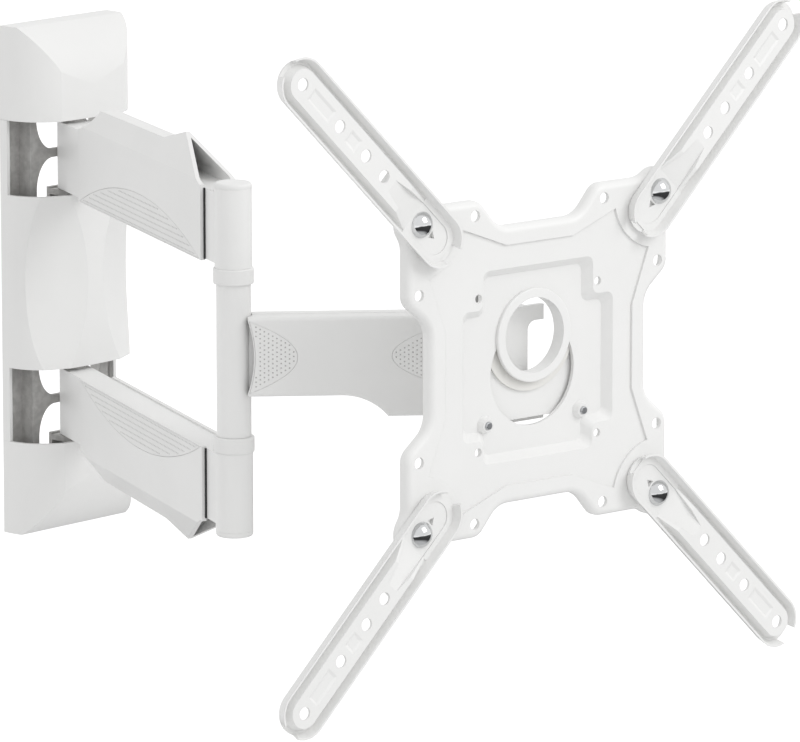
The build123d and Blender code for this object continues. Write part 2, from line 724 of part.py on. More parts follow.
def head_bushes():
    y = -FORE_LEN
    outer = BARREL_BORE_R - SEAT_GAP
    upper = rod_z(0, y, (BARREL_HIGH - HEAD_BUSH_H, BARREL_HIGH), outer)
    upper += rod_z(0, y, (BARREL_HIGH, BARREL_HIGH + BUSH_FLANGE_T), BARREL_R)
    lower = rod_z(0, y, (BARREL_LOW, BARREL_LOW + HEAD_BUSH_H), outer)
    lower += rod_z(0, y, (BARREL_LOW - BUSH_FLANGE_T, BARREL_LOW), BARREL_R)
    bore = rod_z(0, y, (BARREL_LOW - HEAD_BUSH_H, BARREL_HIGH + HEAD_BUSH_H), SWIVEL_R + RUN_GAP)
    return group([upper - bore, lower - bore])


# Head, drawn with the swivel axis at the origin and the screen plate towards -y

CHEEK_HIGH_Z = BARREL_HIGH + BUSH_FLANGE_T + RUN_GAP
CHEEK_LOW_Z = BARREL_LOW - BUSH_FLANGE_T - RUN_GAP
CHEEK_TOP = CHEEK_HIGH_Z + CHEEK_T
CHEEK_FOOT = CHEEK_LOW_Z - CHEEK_T
EAR_X = (WEB_WIDE - TILT_EAR_T, WEB_WIDE)
TILT_CHEEK_X = (WEB_WIDE + TILT_WASHER_T, WEB_WIDE + TILT_WASHER_T + TILT_CHEEK_T)


def swivel_bracket():
    bracket = None
    for z in ((CHEEK_HIGH_Z, CHEEK_TOP), (CHEEK_FOOT, CHEEK_LOW_Z)):
        cheek = rod_z(0, 0, z, CHEEK_R) + block((-CHEEK_R, CHEEK_R), (-WEB_FRONT, 0), z)
        cheek -= rod_z(0, 0, z, SWIVEL_R + SEAT_GAP)
        bracket = cheek if bracket is None else bracket + cheek
    web = plate_y(
        Pos(0, (CHEEK_TOP + CHEEK_FOOT) / 2) * Rectangle(2 * WEB_WIDE, CHEEK_TOP - CHEEK_FOOT),
        (-WEB_FRONT + WEB_T, -WEB_FRONT),
    )
    neck = (WEB_NECK_LOW, WEB_NECK_HIGH)
    for side in (-1, 1):
        span = 2 * (WEB_WIDE - WEB_NARROW)
        opening = RectangleRounded(span, neck[1] - neck[0], WEB_NECK_R)
        web -= plate_y(Pos(side * WEB_WIDE, sum(neck) / 2) * opening, (0, -2 * WEB_FRONT))
    bracket += web
    for side in (-1, 1):
        x = sorted((side * EAR_X[0], side * EAR_X[1]))
        ear = rod_x(-TILT_OUT, TILT_Z, x, TILT_EAR_R)
        ear += block(x, (-TILT_OUT, -WEB_FRONT), (TILT_Z - TILT_EAR_R, TILT_Z + TILT_EAR_R))
        bracket += ear
        bracket -= rod_x(-TILT_OUT, TILT_Z, x, TILT_R + SEAT_GAP)
    return bracket


def swivel_bolt():
    bolt = rod_z(0, 0, (CHEEK_FOOT - SWIVEL_HEAD_H, CHEEK_TOP), SWIVEL_R)
    return bolt + rod_z(0, 0, (CHEEK_TOP, CHEEK_TOP + SWIVEL_HEAD_H), SWIVEL_HEAD_R)


def swivel_nut():
    z = (CHEEK_FOOT - SWIVEL_HEAD_H, CHEEK_FOOT)
    return hex_z(0, 0, z, SWIVEL_HEAD_R) - rod_z(0, 0, z, SWIVEL_R + SEAT_GAP)


def tilt_bolt():
    outer = TILT_CHEEK_X[1] + RUN_GAP
    bolt = rod_x(-TILT_OUT, TILT_Z, (EAR_X[0] - TILT_NUT_H, outer), TILT_R)
    return bolt + rod_x(-TILT_OUT, TILT_Z, (outer, outer + TILT_HEAD_H), TILT_HEAD_R)


def tilt_nut():
    x = (EAR_X[0] - TILT_NUT_H, EAR_X[0])
    seat = Plane(origin=(x[0], -TILT_OUT, TILT_Z), z_dir=(1, 0, 0))
    nut = seat * extrude(RegularPolygon(TILT_NUT_R, 6), TILT_NUT_H)
    return nut - rod_x(-TILT_OUT, TILT_Z, x, TILT_R + SEAT_GAP)


def tilt_washer():
    x = (EAR_X[1], TILT_CHEEK_X[0] - RUN_GAP)
    return rod_x(-TILT_OUT, TILT_Z, x, TILT_EAR_R) - rod_x(-TILT_OUT, TILT_Z, x, TILT_R + SEAT_GAP)


def lock_slot():
    """Slot square to the roll axis that a lock screw travels in."""
    drop = HUB_Z - LOCK_Z
    width = 2 * (LOCK_R + LOCK_SLOT_GAP)
    travel = 2 * hypot(LOCK_X, drop) * radians(ROLL_ANGLE)
    square = Rot(0, 0, degrees(atan2(LOCK_X, drop)))
    return Pos(LOCK_X, LOCK_Z) * square * SlotOverall(travel + width, width)


def tilt_bracket():
    height = TILT_WEB_TOP - TILT_WEB_LOW
    web = Pos(0, TILT_WEB_LOW + height / 2) * Rectangle(2 * TILT_WEB_HALF_W, height)
    for side in (-1, 1):
        x = side * (TILT_FOOT_X + TILT_WEB_HALF_W) / 2
        web += Pos(x, (TILT_WEB_LOW + TILT_FOOT_LOW) / 2) * Rectangle(
            TILT_WEB_HALF_W - TILT_FOOT_X, TILT_WEB_LOW - TILT_FOOT_LOW
        )
    web -= Pos(0, HUB_Z) * Circle(HUB_R + SEAT_GAP)
    slot = lock_slot()
    web -= slot
    web -= mirrored(slot, Plane.YZ)
    bracket = plate_y(web, (TILT_BACK_Y, TILT_FRONT_Y))
    for side in (-1, 1):
        x = sorted((side * TILT_CHEEK_X[0], side * TILT_CHEEK_X[1]))
        cheek = rod_x(-TILT_OUT, TILT_Z, x, TILT_CHEEK_R)
        cheek += block(x, (TILT_BACK_Y, -TILT_OUT), (TILT_Z - TILT_CHEEK_R, TILT_Z + TILT_CHEEK_R))
        cheek -= block(x, (TILT_FRONT_Y - TILT_CHEEK_R, TILT_FRONT_Y), (TILT_FOOT_LOW, TILT_WEB_TOP))
        bracket += cheek
        bracket -= rod_x(-TILT_OUT, TILT_Z, x, TILT_R + RUN_GAP)
    return bracket


def roll_hub():
    hub = rod_y(0, HUB_Z, (RING_BACK_Y - RING_T, TILT_BACK_Y), HUB_R)
    hub += rod_y(0, HUB_Z, (RING_BACK_Y - RING_T, RING_BACK_Y), RING_R)
    rim = hub.edges().group_by(Axis.Y)[0]
    hub = fillet(rim, RING_T / 3)
    return hub - rod_y(0, HUB_Z, (RING_BACK_Y - 2 * RING_T, TILT_BACK_Y), HUB_BORE_R)


def roll_washer():
    y = (WASHER_FRONT_Y, WASHER_BACK_Y)
    return rod_y(0, HUB_Z, y, WASHER_R) - rod_y(0, HUB_Z, y, HUB_R + SEAT_GAP)


def lock_screw():
    tip = FLOOR_Y - BOSS_H - LOCK_TIP
    seat = TILT_BACK_Y + RUN_GAP
    screw = rod_y(LOCK_X, LOCK_Z, (tip, seat), LOCK_R)
    return screw + rod_y(LOCK_X, LOCK_Z, (seat, seat + LOCK_HEAD_H), LOCK_HEAD_R)


# Screen plate

def pan_outline():
    """Scalloped square: corners that swell round the screws, lobes and a shallow bay in each side."""
    quarter = [
        (NOTCH_HALF, -NOTCH_FOOT),
        (NOTCH_HALF, NOTCH_FOOT),
        (PLATE_HALF, NOTCH_LOBE),
        (PLATE_HALF, PLATE_HALF),
        (NOTCH_LOBE, PLATE_HALF),
    ]
    radii = {0: NOTCH_R, 1: NOTCH_R, 2: LOBE_R, 4: LOBE_R}
    points = []
    corner_radii = []
    for turn in range(4):
        for index, (x, z) in enumerate(quarter):
            for _ in range(turn):
                x, z = -z, x
            points.append((x, z))
            corner_radii.append(radii.get(index))
    outline = make_face(Polyline(*points, close=True))
    for radius in sorted(set(radii.values())):
        chosen = [p for p, r in zip(points, corner_radii) if r == radius]
        corners = [v for v in outline.vertices() if any(hypot(v.X - x, v.Y - z) < 1e-4 for x, z in chosen)]
        outline = fillet(corners, radius)
    for x, z in screw_places():
        outline += Pos(x, z) * Circle(CORNER_R)
    out = PLATE_HALF - SCREW_SQUARE / 2
    along = SCREW_SQUARE / 2 - sqrt(CORNER_R ** 2 - out ** 2)
    blends = [v for v in outline.vertices() if abs(min(abs(v.X), abs(v.Y)) - along) < 1e-3]
    return fillet(blends, CORNER_BLEND_R)


def step_outline():
    """Field inside the raised rim, clear of the round pads under the extension arms."""
    quarter = [
        (STEP_HALF, -STEP_FOOT),
        (STEP_HALF, STEP_FOOT),
        (STEP_LOBE, STEP_LOBE_FOOT),
        (STEP_LOBE, STEP_LOBE),
        (STEP_LOBE_FOOT, STEP_LOBE),
    ]
    points = []
    for turn in range(4):
        for x, z in quarter:
            for _ in range(turn):
                x, z = -z, x
            points.append((x, z))
    field = make_face(Polyline(*points, close=True))
    for x, z in screw_places():
        field -= Pos(x, z) * Circle(CORNER_PAD_R)
    return field


def recess_outline(inset):
    """Square recess whose corners step in round the four small screw holes."""
    half = RECESS_HALF - inset
    notch = RECESS_NOTCH_X - inset
    top = RECESS_NOTCH_TOP - inset
    low = RECESS_NOTCH_LOW - inset
    right = [(notch, half), (notch, top), (half, top), (half, -low), (notch, -low), (notch, -half)]
    left = [(-x, z) for x, z in reversed(right)]
    outline = make_face(Polyline(*right, *left, close=True))
    return fillet(outline.vertices(), RECESS_CORNER_R)


def screw_places():
    half = SCREW_SQUARE / 2
    return [(x, z) for x in (-half, half) for z in (-half, half)]


def side_hole_places():
    half = SCREW_SQUARE / 2
    upright = [(x, z) for x in (-SIDE_HOLE, SIDE_HOLE) for z in (-half, half)]
    return upright + [(z, x) for x, z in upright]


def recess_solid(grow, y):
    """Drafted body of the recess, from its mouth to its floor, grown outwards by a wall."""
    mouth = front_plane(y[0]) * (Pos(0, PLATE_RISE) * recess_outline(-grow))
    floor = front_plane(y[1]) * (Pos(0, PLATE_RISE) * recess_outline(RECESS_DRAFT - grow))
    return loft([mouth.face(), floor.face()], ruled=True)


def lock_boss():
    return loft([
        (front_plane(FLOOR_Y) * (Pos(LOCK_X, LOCK_Z) * Circle(BOSS_R))).face(),
        (front_plane(FLOOR_Y - BOSS_H) * (Pos(LOCK_X, LOCK_Z) * Circle(BOSS_TIP_R))).face(),
    ])


def screen_plate():
    outline = Pos(0, PLATE_RISE) * pan_outline()
    pan = plate_y(outline, (FLANGE_Y, RIDGE_Y))
    pan = fillet(pan.faces().sort_by(Axis.Y)[0].edges(), FLANGE_EDGE_R)
    cavity = plate_y(offset(outline, -PLATE_T), (FLANGE_Y, RIDGE_Y + PLATE_T))
    cavity = fillet(cavity.faces().sort_by(Axis.Y)[0].edges(), FLANGE_EDGE_R - PLATE_T)
    pan -= cavity
    field = Pos(0, PLATE_RISE) * step_outline()
    pan += plate_y(field, (FACE_Y + PLATE_T, RIDGE_Y + STEP_T))
    pan -= plate_y(field, (FACE_Y, RIDGE_Y - BACK_MARGIN))
    pan += recess_solid(PLATE_T, (FACE_Y + PLATE_T / 2, FLOOR_BACK_Y))
    pan -= recess_solid(0, (FACE_Y, FLOOR_Y))
    through = (max(FLANGE_Y, FLOOR_BACK_Y) + BACK_MARGIN, RIDGE_Y - BACK_MARGIN)
    pan -= rod_y(0, HUB_Z, sorted(through), HUB_R + RUN_GAP)
    pan -= rod_y(0, CUTOUT_Z, sorted(through), CUTOUT_R)
    boss = lock_boss()
    pan += boss
    pan += mirrored(boss, Plane.YZ)
    for side in (-1, 1):
        pan -= rod_y(side * LOCK_X, LOCK_Z, sorted(through), LOCK_R + SEAT_GAP)
    half = VESA_SMALL / 2
    for x in (-half, half):
        for z in (-half, half):
            pan -= rod_y(x, z, sorted(through), VESA_SMALL_R)
    for x, z in side_hole_places():
        pan -= rod_y(x, z + PLATE_RISE, sorted(through), SIDE_HOLE_R)
    for x, z in screw_places():
        pan -= rod_y(x, z + PLATE_RISE, sorted(through), SCREW_R + SEAT_GAP)
    return pan


def arm_screw(x, z):
    """Dome-headed screw that an extension arm turns on."""
    ball_r = (SCREW_HEAD_R ** 2 + SCREW_HEAD_H ** 2) / (2 * SCREW_HEAD_H)
    tip = SCREW_SEAT_Y - SCREW_HEAD_H
    dome = Pos(x, tip + ball_r, z) * Sphere(ball_r)
    dome &= rod_y(x, z, (tip - BACK_MARGIN, SCREW_SEAT_Y), 2 * SCREW_HEAD_R)
    end = RIDGE_Y + PLATE_T + SCREW_NUT_H + SCREW_TAIL
    return dome + rod_y(x, z, (SCREW_SEAT_Y, end), SCREW_R)


def arm_screw_nut(x, z):
    """Round press nut behind the plate."""
    back = RIDGE_Y + PLATE_T + SCREW_NUT_H
    nut = rod_y(x, z, (RIDGE_Y + PLATE_T, back), SCREW_NUT_R)
    return nut - rod_y(x, z, (RIDGE_Y, back), SCREW_R + SEAT_GAP)


# Extension arm, drawn with its screw at the origin and its long end along +x

def reach_slot(inset):
    length = REACH_TIP + REACH_TAIL - 2 * inset
    return Pos((REACH_TIP - REACH_TAIL) / 2, 0) * SlotOverall(length, 2 * (REACH_HALF_W - inset))


def reach_tray():
    """Round-ended tray whose rim leans outwards."""
    back = front_plane(REACH_BACK_Y) * reach_slot(REACH_LEAN)
    top = front_plane(REACH_TOP_Y) * reach_slot(0)
    outside = loft([back.face(), top.face()], ruled=True)
    outside = fillet(outside.faces().sort_by(Axis.Y)[-1].edges(), REACH_BACK_R)
    floor_inset = REACH_RIM_T + REACH_LEAN * (1 - REACH_FLOOR_T / REACH_RIM_H)
    floor = front_plane(REACH_FLOOR_Y) * reach_slot(floor_inset)
    mouth = front_plane(REACH_TOP_Y) * reach_slot(REACH_RIM_T)
    return outside - loft([floor.face(), mouth.face()], ruled=True)


def plateau_outline(start, grow):
    """Raised strip with the holes: straight at its start and round at the far end."""
    half = PLATEAU_HALF_W + grow
    middle = REACH_TIP - REACH_HALF_W
    nose = Edge.make_three_point_arc((middle, half, 0), (middle + half, 0, 0), (middle, -half, 0))
    sides = lines((middle, -half, 0), (start, -half, 0), (start, half, 0), (middle, half, 0))
    return Sketch() + Face(Wire([nose, *sides]))


def above_ramp(low_y, end):
    """Room above a slope from a level at the plateau's start up to its top."""
    first = PLATEAU_START - BACK_MARGIN
    over = PLATEAU_TOP_Y - BACK_MARGIN
    z = -REACH_HALF_W
    edges = lines(
        (first, low_y, z),
        (PLATEAU_START, low_y, z),
        (end, PLATEAU_TOP_Y, z),
        (end, over, z),
        (first, over, z),
        (first, low_y, z),
    )
    return slab(edges, 2 * REACH_HALF_W, (0, 0, 1))


def reach_plateau():
    """Strip pressed out of the arm's floor, with a tongue that ramps down to the screw's seat."""
    foot = front_plane(REACH_FLOOR_Y) * plateau_outline(PLATEAU_START, PLATEAU_DRAFT)
    top = front_plane(PLATEAU_TOP_Y) * plateau_outline(PLATEAU_START, 0)
    plateau = loft([foot.face(), top.face()], ruled=True)
    plateau -= above_ramp(REACH_FLOOR_Y - SEAT_STEP, PLATEAU_FULL)
    first = PLATEAU_START - BACK_MARGIN
    tongue = make_face(Polyline(
        (first, -SEAT_HALF_W), (TONGUE_END, -TONGUE_HALF_W), (TONGUE_END, TONGUE_HALF_W), (first, SEAT_HALF_W),
        close=True,
    ))
    tongue = plate_y(tongue, (REACH_FLOOR_Y, PLATEAU_TOP_Y - BACK_MARGIN))
    return plateau - (tongue & above_ramp(REACH_FLOOR_Y, TONGUE_END))


def plateau_hollow():
    """Room behind the plateau's sheet."""
    foot = front_plane(REACH_BACK_Y) * plateau_outline(HOLLOW_START, PLATEAU_DRAFT - PLATEAU_WALL)
    top = front_plane(PLATEAU_TOP_Y + PLATEAU_WALL) * plateau_outline(HOLLOW_START, -PLATEAU_WALL)
    return loft([foot.face(), top.face()], ruled=True)


def seat_step():
    """Low step between the rim and the oval seat round the screw."""
    reach = REACH_TAIL + PLATEAU_START
    near = Pos(PLATEAU_START - reach / 2, 0) * Rectangle(reach, 2 * REACH_HALF_W)
    oval = SlotOverall(2 * SEAT_NEAR, 2 * SEAT_HALF_W)
    ring = (reach_slot(REACH_LEAN) & near) - oval
    return plate_y(ring, (REACH_FLOOR_Y, REACH_FLOOR_Y - SEAT_STEP))


def emboss(x):
    """Shallow pocket between two holes, with sloping sides."""
    middle = Pos(sum(x) / 2, 0)
    length = x[1] - x[0]
    width = 2 * EMBOSS_HALF_W
    mouth = middle * Rectangle(length, width)
    bottom = middle * Rectangle(length - 2 * EMBOSS_DRAFT, width - 2 * EMBOSS_DRAFT)
    floor = front_plane(PLATEAU_TOP_Y + EMBOSS_T) * bottom
    return loft([floor.face(), (front_plane(PLATEAU_TOP_Y) * mouth).face()], ruled=True)


def reach_arm():
    arm = reach_tray() + seat_step()
    gap = REACH_LEAN + REACH_HALF_W - sqrt((REACH_HALF_W - REACH_RIM_T) ** 2 - RIM_GAP_HALF ** 2)
    gap_y = (REACH_TOP_Y, REACH_FLOOR_Y)
    gap_z = (-RIM_GAP_HALF, RIM_GAP_HALF)
    arm -= block((REACH_TIP - gap, REACH_TIP), gap_y, gap_z)
    arm -= block((-REACH_TAIL, gap - REACH_TAIL), gap_y, gap_z)
    arm += reach_plateau()
    arm -= plateau_hollow()
    for low, high in zip(REACH_HOLES[1:], REACH_HOLES[2:]):
        x = (low + EMBOSS_INSET, high - EMBOSS_INSET)
        arm -= emboss(x)
    through = (REACH_TOP_Y, REACH_BACK_Y)
    for d in REACH_HOLES:
        arm -= rod_y(d, 0, through, REACH_HOLE_R)
    nub = Pos(NUB_X, 0) * Rot(0, 0, 180) * RegularPolygon(NUB_R, 3)
    arm -= plate_y(nub, (REACH_BACK_Y, REACH_TOP_Y))
    return arm - rod_y(0, 0, through, SCREW_R + RUN_GAP)


def placed_reach_arm(x, z, turn):
    return Pos(x, 0, z + PLATE_RISE) * Rot(0, -turn, 0) * reach_arm()


def wall_parts():
    top = wall_cover_top()
    return {
        "wall_plate": wall_plate(),
        "wall_cover_top": top,
        "wall_cover_middle": wall_cover_middle(),
        "wall_cover_bottom": mirrored(top, Plane.XY),
        "wall_pivot_bolts": both(pivot_bolt(), Plane.XY),
        "wall_pivot_nuts": both(pivot_nut(), Plane.XY),
    }


def rear_arm_parts():
    parts = {}
    inlay = arm_inlay(0, INLAY_T)
    pieces = {
        "arm_beam": arm_beam(),
        "arm_wall_bushes": arm_bushes(),
        "arm_cover": arm_cover(),
        "arm_inlays": group([inlay, mirrored(inlay, Plane.YZ)]),
    }
    for name, piece in pieces.items():
        parts["upper_" + name] = ARM_FRAME * piece
        parts["lower_" + name] = ARM_FRAME * mirrored(piece, Plane.XY)
    rounds = {"elbow_sleeve": elbow_sleeve(), "elbow_collar": elbow_collar(), "elbow_cap": elbow_cap()}
    for name, piece in rounds.items():
        parts["upper_" + name] = ELBOW_FRAME * piece
        parts["lower_" + name] = ELBOW_FRAME * mirrored(piece, Plane.XY)
    parts["elbow_shaft"] = ELBOW_FRAME * elbow_shaft()
    return parts


def forearm_parts():
    near_pad, far_pad = forearm_pads(0, INLAY_T)
    pieces = {
        "elbow_tube": elbow_tube(),
        "elbow_bushes": both(elbow_bush(), Plane.XY),
        "forearm_beam": forearm_beam(),
        "forearm_front_cover": forearm_front_cover(),
        "forearm_rear_cover": forearm_rear_cover(),
        "forearm_near_pad": near_pad,
        "forearm_far_pad": far_pad,
        "forearm_cover_screws": group([forearm_cover_screw(d) for d in COVER_SCREW_D]),
        "head_barrel": head_barrel(),
        "head_bushes": head_bushes(),
    }
    return {name: FORE_FRAME * piece for name, piece in pieces.items()}


def head_parts():
    places = [(x, z + PLATE_RISE) for x, z in screw_places()]
    pieces = {
        "swivel_bracket": swivel_bracket(),
        "swivel_bolt": swivel_bolt(),
        "swivel_nut": swivel_nut(),
        "tilt_bolts": both(tilt_bolt(), Plane.YZ),
        "tilt_nuts": both(tilt_nut(), Plane.YZ),
        "tilt_washers": both(tilt_washer(), Plane.YZ),
        "tilt_bracket": tilt_bracket(),
        "roll_hub": roll_hub(),
        "roll_washer": roll_washer(),
        "screen_plate": screen_plate(),
        "roll_lock_screws": both(lock_screw(), Plane.YZ),
        "arm_screws": group([arm_screw(x, z) for x, z in places]),
        "arm_screw_nuts": group([arm_screw_nut(x, z) for x, z in places]),
    }
    half = SCREW_SQUARE / 2
    corners = {"upper_left": (-1, 1), "upper_right": (1, 1), "lower_left": (-1, -1), "lower_right": (1, -1)}
    for name, (side, level) in corners.items():
        turn = 90 - side * (90 - level * 45)
        pieces["reach_arm_" + name] = placed_reach_arm(side * half, level * half, turn)
    return {name: HEAD_FRAME * piece for name, piece in pieces.items()}


def main():
    os.makedirs("parts", exist_ok=True)
    parts = {**wall_parts(), **rear_arm_parts(), **forearm_parts(), **head_parts()}
    for name, shape in parts.items():
        export_step(shape, f"parts/{name}.step")


main()
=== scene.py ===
"""Full motion wall mount for a screen: finishes, dimpled grips, turned screws, studio and camera."""

from __future__ import annotations

import json
import logging
import math
from dataclasses import dataclass, field
from enum import Enum
from typing import Any, Iterable, Iterator

import bmesh
import bpy
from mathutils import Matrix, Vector
from mathutils.bvhtree import BVHTree

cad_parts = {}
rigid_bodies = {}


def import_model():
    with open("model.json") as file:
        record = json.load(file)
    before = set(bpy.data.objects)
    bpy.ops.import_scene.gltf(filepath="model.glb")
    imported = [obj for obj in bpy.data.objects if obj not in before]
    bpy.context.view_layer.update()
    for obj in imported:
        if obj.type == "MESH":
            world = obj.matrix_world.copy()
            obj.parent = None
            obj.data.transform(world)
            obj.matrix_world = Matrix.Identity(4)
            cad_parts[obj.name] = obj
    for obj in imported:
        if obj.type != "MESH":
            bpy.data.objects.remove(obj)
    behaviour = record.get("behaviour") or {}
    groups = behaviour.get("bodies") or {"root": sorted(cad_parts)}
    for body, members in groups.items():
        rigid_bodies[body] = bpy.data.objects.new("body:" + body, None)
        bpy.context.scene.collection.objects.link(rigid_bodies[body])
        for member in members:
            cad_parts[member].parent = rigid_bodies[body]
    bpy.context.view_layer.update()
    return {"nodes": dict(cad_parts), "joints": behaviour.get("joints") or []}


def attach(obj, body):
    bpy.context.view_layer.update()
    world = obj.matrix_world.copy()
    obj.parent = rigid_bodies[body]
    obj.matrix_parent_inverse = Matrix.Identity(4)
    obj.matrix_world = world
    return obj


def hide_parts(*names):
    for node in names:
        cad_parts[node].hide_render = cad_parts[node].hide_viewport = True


LOG = logging.getLogger("wall_mount")
MM = 0.001
UP = Vector((0.0, 0.0, 1.0))
SHARP_ANGLE = math.radians(32)
WHITE = (1.0, 1.0, 1.0, 1.0)


def linear(code: str) -> tuple[float, float, float, float]:
    """Turn an sRGB hex colour into linear light.

    Args:
        code: Six hex digits after a hash sign.

    Returns:
        Red, green, blue and an alpha of one.
    """
    parts = [int(code[i:i + 2], 16) / 255 for i in (1, 3, 5)]
    red, green, blue = (p / 12.92 if p <= 0.04045 else ((p + 0.055) / 1.055) ** 2.4 for p in parts)
    return (red, green, blue, 1.0)


def add_node(
    tree: bpy.types.NodeTree, kind: str, settings: dict[str, Any], links: dict[Any, Any],
) -> bpy.types.Node:
    """Add one node with its settings and its incoming links.

    Args:
        tree: Node tree of a material or the world.
        kind: Blender's name of the node type.
        settings: Input values by socket name, or node properties by attribute name.
        links: Output sockets by the name or number of the input that each feeds.

    Returns:
        The new node.
    """
    node = tree.nodes.new(kind)
    for name, value in settings.items():
        if name in node.inputs:
            node.inputs[name].default_value = value
        else:
            setattr(node, name, value)
    for name, socket in links.items():
        tree.links.new(socket, node.inputs[name])
    return node


def set_ramp(ramp: bpy.types.Node, stops: tuple[tuple[float, str], ...]) -> None:
    """Set the stops of a colour ramp with two stops.

    Args:
        ramp: Colour ramp node.
        stops: Position and sRGB hex colour of each stop.
    """
    for element, (position, colour) in zip(ramp.color_ramp.elements, stops):
        element.position = position
        element.color = linear(colour)


@dataclass(frozen=True)
class Surface:
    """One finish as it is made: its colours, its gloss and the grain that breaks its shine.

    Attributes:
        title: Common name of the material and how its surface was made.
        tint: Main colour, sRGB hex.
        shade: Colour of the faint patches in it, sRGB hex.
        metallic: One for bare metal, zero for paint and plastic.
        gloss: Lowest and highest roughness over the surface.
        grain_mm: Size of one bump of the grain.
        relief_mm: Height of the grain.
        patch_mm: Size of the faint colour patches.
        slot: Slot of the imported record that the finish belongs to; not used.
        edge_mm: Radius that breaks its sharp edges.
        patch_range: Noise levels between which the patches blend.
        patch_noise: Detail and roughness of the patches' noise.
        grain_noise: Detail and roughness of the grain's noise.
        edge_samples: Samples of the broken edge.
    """

    title: str
    tint: str
    shade: str
    metallic: float
    gloss: tuple[float, float]
    grain_mm: float
    relief_mm: float
    patch_mm: float
    slot: str
    edge_mm: float = 0.4
    patch_range: tuple[float, float] = (0.35, 0.65)
    patch_noise: tuple[float, float] = (3.0, 0.55)
    grain_noise: tuple[float, float] = (2.0, 0.5)
    edge_samples: int = 4

    def noise(
        self,
        tree: bpy.types.NodeTree,
        where: bpy.types.NodeSocket,
        size_mm: float,
        texture: tuple[float, float],
    ) -> bpy.types.NodeSocket:
        """Add one noise texture.

        Args:
            tree: Node tree to add to.
            where: Coordinates that the noise follows.
            size_mm: Size of one spot of the noise.
            texture: Its detail and roughness.

        Returns:
            The noise's level.
        """
        detail, roughness = texture
        spots = add_node(
            tree, "ShaderNodeTexNoise",
            {"Scale": 1 / (size_mm * MM), "Detail": detail, "Roughness": roughness}, {"Vector": where},
        )
        return spots.outputs["Fac"]

    def material(self) -> bpy.types.Material:
        """Make the material, or give back the one made before.

        Returns:
            The material with its node tree.
        """
        made = bpy.data.materials.get(self.title)
        if made is not None:
            return made
        made = bpy.data.materials.new(self.title)
        made.use_nodes = True
        tree = made.node_tree
        shader = tree.nodes["Principled BSDF"]
        shader.inputs["Metallic"].default_value = self.metallic
        place = add_node(tree, "ShaderNodeTexCoord", {}, {})
        where = place.outputs["Object"]
        patches = self.noise(tree, where, self.patch_mm, self.patch_noise)
        tone = add_node(tree, "ShaderNodeValToRGB", {}, {"Fac": patches})
        set_ramp(tone, tuple(zip(self.patch_range, (self.shade, self.tint))))
        grain = self.noise(tree, where, self.grain_mm, self.grain_noise)
        gloss = add_node(
            tree, "ShaderNodeMapRange", {"To Min": self.gloss[0], "To Max": self.gloss[1]}, {"Value": grain},
        )
        edge = add_node(
            tree, "ShaderNodeBevel", {"samples": self.edge_samples, "Radius": self.edge_mm * MM}, {},
        )
        bump = add_node(
            tree, "ShaderNodeBump",
            {"Strength": 1.0, "Distance": self.relief_mm * MM},
            {"Height": grain, "Normal": edge.outputs["Normal"]},
        )
        tree.links.new(tone.outputs["Color"], shader.inputs["Base Color"])
        tree.links.new(gloss.outputs["Result"], shader.inputs["Roughness"])
        tree.links.new(bump.outputs["Normal"], shader.inputs["Normal"])
        return made


class Finish(Enum):
    """The finishes found on the mount."""

    # Baked powder: a clean satin white whose faint orange peel softens every highlight.
    POWDER_COAT = Surface(
        "Powder coated steel", "#E9E9E8", "#E7E7E6", 0.0, (0.34, 0.44), 1.1, 0.012, 60, "white_steel",
    )
    # Moulded ABS: the same white, a little flatter, from a spark-eroded mould.
    MOULDED_ABS = Surface(
        "Moulded ABS", "#E8E8E7", "#E5E5E4", 0.0, (0.4, 0.52), 0.7, 0.012, 80, "white_cover",
    )
    # Grip insets: the white of the covers round them, with a matt grain.
    GRIP_ABS = Surface(
        "Matt grained ABS", "#E8E8E7", "#E5E5E4", 0.0, (0.55, 0.68), 0.6, 0.015, 40, "textured_inlay",
    )
    # Dimples: low lips painted the grey of the shade that fills real dimples in the grip's pattern.
    GRIP_DIMPLE_SHADE = Surface(
        "Matt ABS painted dimple shade", "#BFBFBD", "#B7B7B5", 0.0, (0.6, 0.7), 0.6, 0.01, 20, "textured_inlay",
    )
    # Polished chrome: mirrors the white studio and the dark card below it.
    CHROME = Surface(
        "Polished chrome plate", "#D9DADB", "#D2D3D4", 1.0, (0.06, 0.11), 2.0, 0.001, 15, "bright_screw",
    )
    # Zinc plate: a soft grey metal with cloudy patches.
    ZINC = Surface(
        "Zinc plated steel", "#C9CBCD", "#B9BBBE", 1.0, (0.28, 0.4), 0.8, 0.006, 6, "zinc_steel",
    )
    # Galvanised sheet: darker and duller, with the spangle of hot dipping; its dark grey is partly the
    # zinc's own tone and partly painted shade for the plate deep in the covers' windows.
    GALVANISED_AND_SHADE = Surface(
        "Galvanised sheet steel and painted shade", "#C6C5C3", "#B4B3B1", 0.5, (0.5, 0.62), 1.2, 0.01, 5, "zinc_steel",
    )
    # Moulded nylon: a waxy white.
    NYLON = Surface(
        "Moulded nylon", "#E6E5E2", "#E2E1DD", 0.0, (0.4, 0.5), 0.9, 0.008, 30, "nylon",
    )
    # Painted shade: a dull black strip that stands in for the shadow in the gap at each arm cover's mouth
    # and reads as a thin dark line.
    SHADE_STRIP = Surface(
        "Black nylon painted shade strip", "#2C2C2D", "#242425", 0.0, (0.6, 0.75), 0.5, 0.01, 10, "nylon",
    )


def dress(nodes: dict[str, bpy.types.Object], names: Iterable[str], finish: Finish) -> None:
    """Give CAD nodes their finish.

    Args:
        nodes: CAD objects by node name.
        names: Nodes to dress.
        finish: Finish that they get.
    """
    for name in names:
        piece = nodes[name]
        piece.data.materials.clear()
        piece.data.materials.append(finish.value.material())
        LOG.info("%s: %s", name, finish.value.title)


